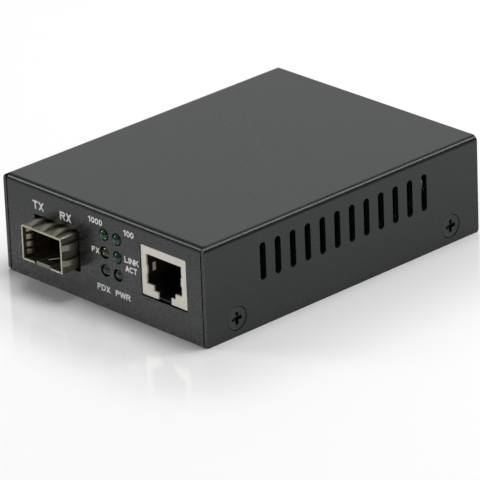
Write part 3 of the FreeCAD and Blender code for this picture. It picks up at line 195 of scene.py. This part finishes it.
def moulded(name, colour, roughness, ior, grain=0.12, depth=0.003, drift=0.05, waxy=0.0):
    """A moulded plastic or resin, with the spark-eroded grain of its mould."""
    # The grain makes a soft, even sheen, and slow flow marks shift the colour a little. Real
    # mould grain is about 0.03 mm wide and is drawn coarser.
    material, tree, shader, place = start_material(name)
    grit = add(tree, "TexNoise", {"Vector": place, "Scale": per_mm(grain), "Detail": 2.0})
    cloud = add(tree, "TexNoise", {"Vector": place, "Scale": per_mm(5), "Detail": 1.0})
    flow = ramp(tree, cloud.outputs["Fac"],
                [(0.3, tone(colour, 1 - drift)), (0.7, tone(colour, 1 + drift))])
    tree.links.new(flow, shader.inputs["Base Color"])
    gloss = add(tree, "MapRange", {"Value": grit.outputs["Fac"], "From Min": 0.3, "From Max": 0.7,
                                   "To Min": roughness - 0.03, "To Max": roughness + 0.05})
    tree.links.new(gloss.outputs["Result"], shader.inputs["Roughness"])
    shader.inputs["IOR"].default_value = ior
    if waxy:
        shader.inputs["Subsurface Weight"].default_value = waxy
        shader.inputs["Subsurface Radius"].default_value = (0.0009, 0.0007, 0.0005)
        shader.inputs["Subsurface Scale"].default_value = 1.0
    bump = add(tree, "Bump", {"Height": grit.outputs["Fac"], "Strength": 0.25,
                              "Distance": depth * MM})
    tree.links.new(bump.outputs["Normal"], shader.inputs["Normal"])
    return material


def lamp_resin(name, colour, clear):
    """Epoxy, cast and tinted."""
    # Its clear body shows dark above and a pale image of the floor below, with small sharp
    # highlights on the dome.
    material, tree, shader, place = start_material(name)
    haze = add(tree, "TexNoise", {"Vector": place, "Scale": per_mm(0.8), "Detail": 1.0})
    tint = ramp(tree, haze.outputs["Fac"], [(0.3, tone(colour, 0.85)), (0.7, tone(colour, 1.12))])
    tree.links.new(tint, shader.inputs["Base Color"])
    shader.inputs["IOR"].default_value = LAMP_EPOXY_IOR
    shader.inputs["Roughness"].default_value = 0.06
    shader.inputs["Transmission Weight"].default_value = clear
    return material


def solder_mask(settings):
    """Glass-epoxy laminate, etched and coated with solder mask."""
    # The copper tracks show through the mask as lighter, slightly raised lines.
    material, tree, shader, place = start_material("laminate_solder_mask")
    tracks = add(tree, "TexBrick", {"Vector": place, "Scale": per_mm(4), "Mortar Size": 0.045,
                                    "Mortar Smooth": 0.2, "Brick Width": 1.7, "Row Height": 0.32,
                                    "Color1": (*tone(settings.mask, 1.0), 1),
                                    "Color2": (*tone(settings.mask, 1.15), 1),
                                    "Mortar": (*tone(settings.mask, 1.9), 1)}, offset=0.37)
    tree.links.new(tracks.outputs["Color"], shader.inputs["Base Color"])
    shader.inputs["Roughness"].default_value = 0.28
    shader.inputs["IOR"].default_value = MASK_IOR
    bump = add(tree, "Bump", {"Height": tracks.outputs["Fac"], "Strength": 0.5,
                              "Distance": 0.035 * MM})
    tree.links.new(bump.outputs["Normal"], shader.inputs["Normal"])
    return material


def print_ink(settings):
    """Epoxy ink, screen printed."""
    # A thin matt film, faintly greyer where the mesh left less ink. Real mesh marks are about
    # 0.05 mm apart and are drawn coarser.
    material, tree, shader, place = start_material("epoxy_ink_screen_printed")
    mesh = add(tree, "TexNoise", {"Vector": place, "Scale": per_mm(0.2), "Detail": 2.0})
    film = ramp(tree, mesh.outputs["Fac"], [(0.25, tone(settings.ink, 0.9)), (0.6, settings.ink)])
    tree.links.new(film, shader.inputs["Base Color"])
    shader.inputs["Roughness"].default_value = 0.55
    return material


def polished_floor(settings):
    """Acrylic sheet, cast."""
    # Milky white below a clear skin. The skin's mirror image is strongest next to the object
    # and fades away from it.
    material, tree, shader, place = start_material("acrylic_sheet_cast")
    low, high = CAD_BOX
    half = Vector((max(-low.x, high.x), max(-low.y, high.y), 0))
    quarter = add(tree, "VectorMath", {0: place}, operation="ABSOLUTE")
    outside = add(tree, "VectorMath", {0: quarter.outputs[0], 1: half}, operation="SUBTRACT")
    clear = add(tree, "VectorMath", {0: outside.outputs[0], 1: (0, 0, 0)}, operation="MAXIMUM")
    reach = add(tree, "VectorMath", {0: clear.outputs[0]}, operation="LENGTH")
    fade = add(tree, "MapRange", {"Value": reach.outputs["Value"], "From Min": 0.0,
                                  "From Max": settings.mirror_reach, "To Min": settings.mirror,
                                  "To Max": 0.0}, interpolation_type="SMOOTHSTEP")
    shader.inputs["Base Color"].default_value = (*settings.floor, 1)
    shader.inputs["Roughness"].default_value = 0.6
    skin = add(tree, "BsdfGlossy", {"Color": (1, 1, 1, 1), "Roughness": settings.mirror_blur})
    blend = add(tree, "MixShader", {0: fade.outputs["Result"], 1: shader.outputs[0],
                                    2: skin.outputs[0]})
    tree.links.new(blend.outputs[0], tree.nodes["Material Output"].inputs["Surface"])
    return material


# Sizes and colours that a user may change

class CaseFinish(bpy.types.PropertyGroup):
    paint: bpy.props.FloatVectorProperty(
        name="Paint", description="Colour of the powder paint", subtype="COLOR", size=3,
        min=0, max=1, default=linear("14181a"))
    paint_roughness: bpy.props.FloatProperty(
        name="Paint roughness", description="How matt the paint is", subtype="FACTOR", min=0.1,
        max=1, default=0.27)
    grain: bpy.props.FloatProperty(
        name="Paint grain", description="Width of one grain of the paint's texture", unit="LENGTH",
        subtype="DISTANCE", min=0.00005, max=0.003, default=0.45 * MM, precision=5)
    grain_depth: bpy.props.FloatProperty(
        name="Grain depth", description="Height of the paint's grain", unit="LENGTH",
        subtype="DISTANCE", min=0, max=0.0005, default=0.02 * MM, precision=6)
    screw: bpy.props.FloatVectorProperty(
        name="Cover screws", description="Colour of the blackened screws", subtype="COLOR", size=3,
        min=0, max=1, default=linear("454747"))


class LegendFinish(bpy.types.PropertyGroup):
    ink: bpy.props.FloatVectorProperty(
        name="Ink", description="Colour of the printed legends", subtype="COLOR", size=3,
        min=0, max=1, default=linear("fcfcfa"))
    film: bpy.props.FloatProperty(
        name="Ink film", description="Thickness of the printed ink", unit="LENGTH",
        subtype="DISTANCE", min=0.000005, max=0.0002, default=0.02 * MM, precision=6)
    weight: bpy.props.FloatProperty(
        name="Stroke weight", description="Width of a stroke as a share of the letters' height",
        subtype="FACTOR", min=0.05, max=0.3, default=0.21)
    spacing: bpy.props.FloatProperty(
        name="Letter gap", description="Gap between two letters as a share of their height",
        subtype="FACTOR", min=0, max=0.5, default=0.07)


class PartFinish(bpy.types.PropertyGroup):
    cage: bpy.props.FloatVectorProperty(
        name="Module cage", description="Colour of the plated cage", subtype="COLOR", size=3,
        min=0, max=1, default=linear("aba797"))
    socket: bpy.props.FloatVectorProperty(
        name="Network socket", description="Colour of the socket's plastic", subtype="COLOR",
        size=3, min=0, max=1, default=linear("f3eee0"))
    gold: bpy.props.FloatVectorProperty(
        name="Contacts", description="Colour of the gold-plated contacts", subtype="COLOR", size=3,
        min=0, max=1, default=linear("e0b560"))
    lamp_green: bpy.props.FloatVectorProperty(
        name="Green lamps", description="Colour of the green lamps' resin", subtype="COLOR", size=3,
        min=0, max=1, default=linear("2a7d4f"))
    lamp_dark: bpy.props.FloatVectorProperty(
        name="Dark lamps", description="Colour of the duplex and power lamps' resin",
        subtype="COLOR", size=3, min=0, max=1, default=linear("5a7068"))
    lamp_olive: bpy.props.FloatVectorProperty(
        name="Fibre lamp", description="Colour of the fibre lamp's resin", subtype="COLOR", size=3,
        min=0, max=1, default=linear("74744e"))
    mask: bpy.props.FloatVectorProperty(
        name="Solder mask", description="Colour of the circuit board", subtype="COLOR", size=3,
        min=0, max=1, default=linear("0c4528"))


class StageSettings(bpy.types.PropertyGroup):
    floor: bpy.props.FloatVectorProperty(
        name="Floor", description="Colour of the floor", subtype="COLOR", size=3, min=0, max=1,
        default=linear("f4f4f4"))
    floor_reach: bpy.props.FloatProperty(
        name="Floor reach", description="Half the width of the floor", unit="LENGTH",
        subtype="DISTANCE", min=0.5, default=4.0)
    mirror: bpy.props.FloatProperty(
        name="Mirror", description="Share of the light that the floor mirrors next to the object",
        subtype="FACTOR", min=0, max=1, default=0.22)
    mirror_reach: bpy.props.FloatProperty(
        name="Mirror reach", description="Distance over which the mirror image fades",
        unit="LENGTH", subtype="DISTANCE", min=0.001, default=36 * MM)
    mirror_blur: bpy.props.FloatProperty(
        name="Mirror blur", description="Roughness of the floor's skin", subtype="FACTOR", min=0,
        max=1, default=0.08)
    azimuth: bpy.props.FloatProperty(
        name="Azimuth", description="Turn of the camera to the right of the front", unit="ROTATION",
        subtype="ANGLE", default=math.radians(47.018))
    elevation: bpy.props.FloatProperty(
        name="Elevation", description="Height of the camera above the horizon", unit="ROTATION",
        subtype="ANGLE", default=math.radians(23.518))
    roll: bpy.props.FloatProperty(
        name="Roll", description="Tilt of the camera about its own axis", unit="ROTATION",
        subtype="ANGLE", default=math.radians(-2.320))
    lens: bpy.props.FloatProperty(
        name="Lens", description="Focal length in millimetres", min=20, max=800, default=358.1)
    stand: bpy.props.FloatVectorProperty(
        name="Camera place", description="Place of the camera", unit="LENGTH",
        subtype="TRANSLATION", size=3, default=(0.799872, -0.746922, 0.479006))
    sky: bpy.props.FloatProperty(
        name="Room light", description="Strength of the even light from all round", min=0,
        default=0.15)
    overhead: bpy.props.FloatProperty(
        name="Overhead light", description="Power of the soft light above", unit="POWER", min=0,
        default=13.0)
    overhead_size: bpy.props.FloatProperty(
        name="Overhead light width", description="Width of that light", unit="LENGTH",
        subtype="DISTANCE", min=0.05, default=0.6)
    front_left: bpy.props.FloatProperty(
        name="Front light", description="Power of the soft light at the front left",
        unit="POWER", min=0, default=3.1)
    front_left_size: bpy.props.FloatProperty(
        name="Front light width", description="Width of that light", unit="LENGTH",
        subtype="DISTANCE", min=0.05, default=0.36)
    rear_right: bpy.props.FloatProperty(
        name="Rear light", description="Power of the soft light at the rear right",
        unit="POWER", min=0, default=3.0)
    rear_right_size: bpy.props.FloatProperty(
        name="Rear light width", description="Width of that light", unit="LENGTH",
        subtype="DISTANCE", min=0.05, default=0.32)
    rear_left: bpy.props.FloatProperty(
        name="Back light", description="Power of the wide light at the rear left",
        unit="POWER", min=0, default=2.4)
    rear_left_size: bpy.props.FloatProperty(
        name="Back light width", description="Width of that light", unit="LENGTH",
        subtype="DISTANCE", min=0.05, default=1.1)
    light_reach: bpy.props.FloatProperty(
        name="Light distance", description="Distance of the lights", unit="LENGTH",
        subtype="DISTANCE", min=0.5, default=1.3)


# Directions of the soft lights, seen from the object
LIGHTS = {
    "overhead": (0.10, 0.16, 0.97),
    "front_left": (-0.70, -0.48, 0.52),
    "rear_right": (0.36, 0.63, 0.70),
    "rear_left": (-0.67, 0.63, 0.40),
}


# Pieces

def arc(across, up, radius_x, radius_y, start, end, steps=14):
    """Points on an ellipse between two angles in degrees."""
    turns = [math.radians(start + (end - start) * n / steps) for n in range(steps + 1)]
    return [(across + radius_x * math.cos(a), up + radius_y * math.sin(a)) for a in turns]


def letter_strokes(half):
    """Width and centre lines of each letter, at a cap height of 1 and half a stroke's width."""
    low, high = half, 1 - half
    waist = 0.53
    bowl = (high - waist) / 2
    zero = arc(0.39, 0.5, 0.39 - half, 0.5 - half, 90, 450, 28)
    stem = [(half, 0), (half, 1)]
    loop = [(half, high), (0.55, high), *arc(0.55, waist + bowl, 0.31, bowl, 90, -90),
            (half, waist)]
    return {
        "0": (0.78, [zero]),
        "1": (0.62, [[(0.40, 0), (0.40, 1)], [(0.42, 0.90), (0.10, 0.68)]]),
        "A": (1.0, [[(0.12, 0), (0.5, 1)], [(0.88, 0), (0.5, 1)], [(0.2, 0.3), (0.8, 0.3)]]),
        "C": (0.98, [arc(0.52, 0.5, 0.52 - half, 0.5 - half, 42, 318, 22)]),
        "D": (0.98, [stem, [(half, high), (0.45, high), *arc(0.45, 0.5, 0.41, 0.5 - half, 90, -90),
                            (half, low)]]),
        "F": (0.84, [stem, [(half, high), (0.8, high)], [(half, waist), (0.7, waist)]]),
        "I": (0.28, [[(0.14, 0), (0.14, 1)]]),
        "K": (1.0, [stem, [(half, 0.35), (0.84, 1)], [(0.42, 0.6), (0.88, 0)]]),
        "L": (0.84, [stem, [(half, low), (0.8, low)]]),
        "N": (1.0, [stem, [(0.14, 1), (0.86, 0)], [(1 - half, 0), (1 - half, 1)]]),
        "P": (0.92, [stem, loop]),
        "R": (1.0, [stem, loop, [(0.5, waist), (0.86, 0)]]),
        "T": (0.86, [[(0, high), (0.86, high)], [(0.43, 0), (0.43, 1)]]),
        "W": (1.36, [[(0.12, 1), (0.36, 0)], [(0.36, 0), (0.68, 1)], [(0.68, 1), (1.0, 0)],
                     [(1.0, 0), (1.24, 1)]]),
        "X": (0.96, [[(0.14, 0), (0.82, 1)], [(0.14, 1), (0.82, 0)]]),
    }


def stroke_quads(line, half):
    """The four-cornered cells of a stroke along a line, mitred, with its slanted ends cut level."""
    sides = []
    last = len(line) - 1
    ring = math.dist(line[0], line[last]) < SAME_SPOT
    for n, point in enumerate(line):
        before = Vector(line[last - 1 if ring and n == 0 else max(n - 1, 0)])
        after = Vector(line[1 if ring and n == last else min(n + 1, last)])
        here = Vector(point)
        first = (here - before) if (here - before).length > 0 else (after - here)
        second = (after - here) if (after - here).length > 0 else (here - before)
        first.normalize()
        second.normalize()
        if not ring and n in (0, last) and abs(first.y) > 0.5:
            side = Vector((-1, 0)) * half / abs(first.y) * (1 if first.y > 0 else -1)
        else:
            middle = (first + second).normalized()
            side = Vector((-middle.y, middle.x)) * half / max(0.5, middle.dot(first))
        sides.append((here + side, here - side))
    return [(a, b, d, c) for (a, b), (c, d) in zip(sides, sides[1:])]


def legend(settings, material, name, text, left, right, middle, height):
    """Raised lettering on the front panel between two sides, in millimetres of the panel."""
    half = settings.weight / 2
    glyphs = letter_strokes(half)
    gap = settings.spacing
    total = sum(glyphs[mark][0] for mark in text) + gap * (len(text) - 1)
    stretch = (right - left) / (total * height)
    points, cells = [], []
    start = 0.0
    for mark in text:
        width, lines = glyphs[mark]
        for line in lines:
            for cell in stroke_quads([((start + x) * stretch, y) for x, y in line], half):
                cells.append(range(len(points), len(points) + 4))
                points += cell
        start += width + gap
    spots, _, faces, _, _, sources = delaunay_2d_cdt(points, [], [list(c) for c in cells],
                                                         INSIDE_ONLY, MERGE_WITHIN)
    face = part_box(PANEL)[0].y
    work = bmesh.new()
    verts = [work.verts.new((left * MM + p.x * height * MM, face,
                             (middle + (p.y - 0.5) * height) * MM)) for p in spots]
    for corners, source in zip(faces, sources):
        if source:
            work.faces.new([verts[n] for n in corners])
    bmesh.ops.delete(work, geom=[v for v in work.verts if not v.link_faces], context="VERTS")
    bmesh.ops.recalc_face_normals(work, faces=work.faces)
    if sum(f.normal.y for f in work.faces) > 0:
        bmesh.ops.reverse_faces(work, faces=work.faces)
    film = bmesh.ops.extrude_face_region(work, geom=work.faces[:])
    for item in film["geom"]:
        if isinstance(item, bmesh.types.BMVert):
            item.co.y -= settings.film
    bmesh.ops.recalc_face_normals(work, faces=work.faces)
    mesh = bpy.data.meshes.new(name)
    work.to_mesh(mesh)
    work.free()
    mesh.materials.append(material)
    piece = bpy.data.objects.new(name, mesh)
    bpy.context.collection.objects.link(piece)
    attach(piece, "root")


# Name, letters, left and right end, middle height and cap height, in millimetres of the panel
LEGENDS = [
    ("legend_tx", "TX", -25.3, -21.2, 20.65, 2.2),
    ("legend_rx", "RX", -15.35, -11.2, 20.45, 2.2),
    ("legend_1000", "1000", -4.95, 0.1, 22.55, 1.6),
    ("legend_100", "100", 7.65, 11.35, 22.4, 1.6),
    ("legend_fx", "FX", -4.15, -1.35, 14.8, 1.45),
    ("legend_link", "LINK", 7.6, 12.75, 15.35, 1.6),
    ("legend_act", "ACT", 7.8, 11.95, 13.0, 1.6),
    ("legend_fdx", "FDX", -2.75, 1.95, 5.3, 1.6),
    ("legend_pwr", "PWR", 3.8, 9.15, 5.25, 1.6),
]


# Operators, one for each piece or group of like pieces

class FinishCase(bpy.types.Operator):
    """Paints the cover and the tray, and blackens the cover screws"""
    bl_idname = "media_converter.case"
    bl_label = "Case and screws"

    def execute(self, context):
        settings = context.scene.converter_case
        finish_node(powder_paint(settings), "top_cover", "base_tray")
        blackened = worked_metal("steel_blackened", tuple(settings.screw), 0.38)
        finish_node(blackened, "cover_screws")
        return {"FINISHED"}


class PrintLegends(bpy.types.Operator):
    """Prints the port and lamp legends on the front panel"""
    bl_idname = "media_converter.legends"
    bl_label = "Panel legends"

    def execute(self, context):
        settings = context.scene.converter_legends
        material = print_ink(settings)
        for row in LEGENDS:
            legend(settings, material, *row)
        return {"FINISHED"}


class FinishCage(bpy.types.Operator):
    """Plates the module cage, its floor and its spring collar"""
    bl_idname = "media_converter.cage"
    bl_label = "Module cage"

    def execute(self, context):
        settings = context.scene.converter_parts
        plated = worked_metal("nickel_plated_sheet_stamped", tuple(settings.cage), 0.38,
                              stretch=(1, 0.08, 1))
        finish_node(plated, "sfp_cage_shell", "sfp_cage_floor", "sfp_spring_collar")
        return {"FINISHED"}


class FinishSocket(bpy.types.Operator):
    """Moulds the network socket in ivory plastic"""
    bl_idname = "media_converter.socket"
    bl_label = "Network socket"

    def execute(self, context):
        settings = context.scene.converter_parts
        ivory = moulded("polyester_ivory_moulded", tuple(settings.socket), 0.42,
                        POLYESTER_IOR, waxy=0.2)
        finish_node(ivory, "rj45_front_plate")
        return {"FINISHED"}


class FinishContacts(bpy.types.Operator):
    """Plates the spring contacts of the sockets"""
    bl_idname = "media_converter.contacts"
    bl_label = "Contacts"

    def execute(self, context):
        settings = context.scene.converter_parts
        gold = worked_metal("gold_plated_spring_drawn", tuple(settings.gold), 0.22)
        finish_node(gold, "rj45_contacts", "sfp_contacts", "dc_jack_spring")
        tin = worked_metal("copper_tinned_dipped", linear("c4c4c0"), 0.32)
        finish_node(tin, "led_leads", "transformer_leads")
        return {"FINISHED"}


class FinishLamps(bpy.types.Operator):
    """Casts the six lamps in tinted resin, and moulds their holder"""
    bl_idname = "media_converter.lamps"
    bl_label = "Lamps"

    def execute(self, context):
        settings = context.scene.converter_parts
        green = lamp_resin("epoxy_green_cast", tuple(settings.lamp_green), 0.85)
        dark = lamp_resin("epoxy_grey_cast", tuple(settings.lamp_dark), 0.85)
        olive = lamp_resin("epoxy_olive_cast", tuple(settings.lamp_olive), 0.85)
        finish_node(green, "led_1000", "led_100", "led_link_act")
        finish_node(dark, "led_fdx", "led_pwr")
        finish_node(olive, "led_fx")
        nylon = moulded("nylon_black_moulded", linear("1b1b1c"), 0.5, NYLON_IOR)
        finish_node(nylon, "led_holder", "dc_jack_housing", "sfp_connector", "rj45_housing")
        return {"FINISHED"}


class FinishBoard(bpy.types.Operator):
    """Finishes the circuit board and the parts that stand on it"""
    bl_idname = "media_converter.board"
    bl_label = "Circuit board"

    def execute(self, context):
        settings = context.scene.converter_parts
        finish_node(solder_mask(settings), "circuit_board")
        epoxy = moulded("epoxy_black_moulded", linear("242427"), 0.55, CHIP_EPOXY_IOR, grain=0.2)
        finish_node(epoxy, "lan_transformer", "phy_chip", "converter_chip", "config_memory",
                    "voltage_regulator")
        can = worked_metal("aluminium_drawn", linear("cfd1d3"), 0.25)
        finish_node(can, "bulk_capacitors")
        plated = worked_metal("nickel_plated_can_drawn", linear("c9c8c3"), 0.2)
        finish_node(plated, "clock_crystal")
        ferrite = moulded("ferrite_pressed", linear("3a3a3d"), 0.7, FERRITE_IOR, grain=0.3,
                          depth=0.01)
        finish_node(ferrite, "power_inductor")
        ceramic = moulded("ceramic_fired", linear("b59a72"), 0.45, CERAMIC_IOR)
        finish_node(ceramic, "ceramic_capacitors")
        zinc = worked_metal("steel_zinc_plated", linear("bfc1c0"), 0.3)
        finish_node(zinc, "board_standoffs", "board_screws", "dc_jack_pin")
        return {"FINISHED"}


class BuildStage(bpy.types.Operator):
    """Lays the floor, hangs the soft lights and sets up the camera"""
    bl_idname = "media_converter.stage"
    bl_label = "Stage"

    def execute(self, context):
        settings = context.scene.converter_stage
        material = polished_floor(settings)
        work = bmesh.new()
        bmesh.ops.create_grid(work, x_segments=1, y_segments=1, size=settings.floor_reach)
        plane = bpy.data.meshes.new("floor")
        work.to_mesh(plane)
        work.free()
        plane.materials.append(material)
        floor = bpy.data.objects.new("floor", plane)
        context.collection.objects.link(floor)

        world = bpy.data.worlds.new("studio")
        world.use_nodes = True
        room = world.node_tree.nodes["Background"]
        room.inputs["Color"].default_value = (1, 1, 1, 1)
        room.inputs["Strength"].default_value = settings.sky
        context.scene.world = world

        for name, toward in LIGHTS.items():
            lamp = bpy.data.lights.new(name, "AREA")
            lamp.energy = getattr(settings, name)
            lamp.size = getattr(settings, name + "_size")
            light = bpy.data.objects.new(name, lamp)
            light.location = Vector(toward).normalized() * settings.light_reach
            light.rotation_euler = light.location.to_track_quat("Z", "Y").to_euler()
            light.visible_camera = False
            context.collection.objects.link(light)

        turn, rise, roll = settings.azimuth, settings.elevation, settings.roll
        back = Vector((math.sin(turn) * math.cos(rise), -math.cos(turn) * math.cos(rise),
                       math.sin(rise)))
        level = Vector((math.cos(turn), math.sin(turn), 0))
        upright = back.cross(level)
        right = level * math.cos(roll) + upright * math.sin(roll)
        up = upright * math.cos(roll) - level * math.sin(roll)
        camera = bpy.data.cameras.new("camera")
        camera.lens = settings.lens
        camera.sensor_width = SENSOR_MM
        viewer = bpy.data.objects.new("camera", camera)
        aim = Matrix((right, up, back)).transposed().to_4x4()
        viewer.matrix_world = Matrix.Translation(settings.stand) @ aim
        context.collection.objects.link(viewer)
        context.scene.camera = viewer
        context.scene.view_settings.view_transform = "Standard"
        return {"FINISHED"}


STEPS = (BuildStage, FinishCase, PrintLegends, FinishCage, FinishSocket, FinishContacts,
         FinishLamps, FinishBoard)

GROUPS = {
    "converter_case": CaseFinish,
    "converter_legends": LegendFinish,
    "converter_parts": PartFinish,
    "converter_stage": StageSettings,
}


class ConverterPanel(bpy.types.Panel):
    """Lists the steps and their settings in the sidebar"""
    bl_idname = "VIEW3D_PT_media_converter"
    bl_label = "Media converter"
    bl_space_type = "VIEW_3D"
    bl_region_type = "UI"
    bl_category = "Media converter"

    def draw(self, context):
        for step in STEPS:
            self.layout.operator(step.bl_idname)
        for name in GROUPS:
            group = getattr(context.scene, name)
            column = self.layout.box().column()
            for key in group.__annotations__:
                column.prop(group, key)


def register():
    for kind in (*GROUPS.values(), *STEPS, ConverterPanel):
        bpy.utils.register_class(kind)
    for name, group in GROUPS.items():
        setattr(bpy.types.Scene, name, bpy.props.PointerProperty(type=group))


def unregister():
    for name in GROUPS:
        delattr(bpy.types.Scene, name)
    for kind in reversed((*GROUPS.values(), *STEPS, ConverterPanel)):
        bpy.utils.unregister_class(kind)


def main():
    register()
    bpy.ops.media_converter.stage()
    bpy.ops.media_converter.case()
    bpy.ops.media_converter.legends()
    bpy.ops.media_converter.cage()
    bpy.ops.media_converter.socket()
    bpy.ops.media_converter.contacts()
    bpy.ops.media_converter.lamps()
    bpy.ops.media_converter.board()


if __name__ == "__main__":
    main()
